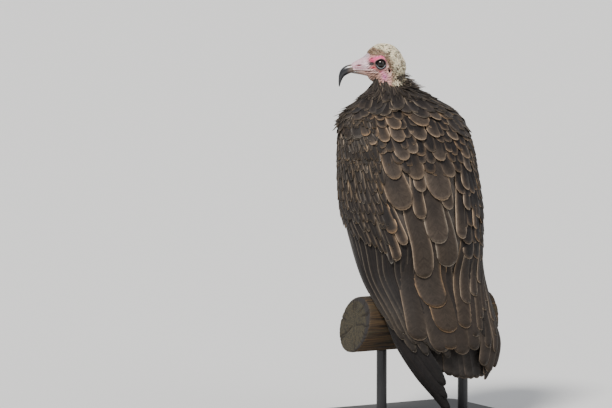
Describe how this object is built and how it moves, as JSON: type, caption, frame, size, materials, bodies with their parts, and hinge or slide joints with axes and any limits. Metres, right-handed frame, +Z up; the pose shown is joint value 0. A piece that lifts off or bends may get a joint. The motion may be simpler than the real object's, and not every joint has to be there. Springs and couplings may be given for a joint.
{
  "type": "vulture",
  "caption": "Life-size still model of a perched hooded vulture with folded wings and turned head, gripping a short log on a plain display stand.",
  "frame": {"origin": "middle of the underside of the stand's base", "axes": "+Z up, the bird's breast faces -Y and its left side +X; the log runs along X"},
  "size_m": [0.32, 0.32, 0.6665],
  "materials": {
    "plumage": "soft matt dark brown body feathers with pale tan rims",
    "wing_feathers": "matt grey-brown wing feathers with paler rims",
    "flight_feathers": "satin blackish long wing feathers",
    "tail_feathers": "matt grey-brown tail feathers",
    "face": "bare pink wrinkled skin, with short cream down over the crown and nape",
    "bill": "smooth dark horn, paler towards its base",
    "claw": "smooth blackish horn",
    "eye": "glossy dark brown",
    "leg": "bluish grey scaly skin",
    "log": "weathered bare wood with drying cracks",
    "stand": "plain dark satin paint"
  },
  "bodies": {
    "root": {"trunk": "plumage", "neck": "plumage", "head": "face", "bill_upper": "bill", "bill_lower": "bill", "eye_left": "eye", "eye_right": "eye", "tail": "tail_feathers", "wing_left": "wing_feathers", "primaries_left": "flight_feathers", "wing_right": "wing_feathers", "primaries_right": "flight_feathers", "thigh_left": "plumage", "tarsus_left": "leg", "foot_left": "leg", "claw_left_inner": "claw", "claw_left_middle": "claw", "claw_left_outer": "claw", "claw_left_hind": "claw", "thigh_right": "plumage", "tarsus_right": "leg", "foot_right": "leg", "claw_right_inner": "claw", "claw_right_middle": "claw", "claw_right_outer": "claw", "claw_right_hind": "claw", "perch_log": "log", "stand_rod_left": "stand", "stand_rod_right": "stand", "stand_base": "stand"}
  },
  "joints": []
}
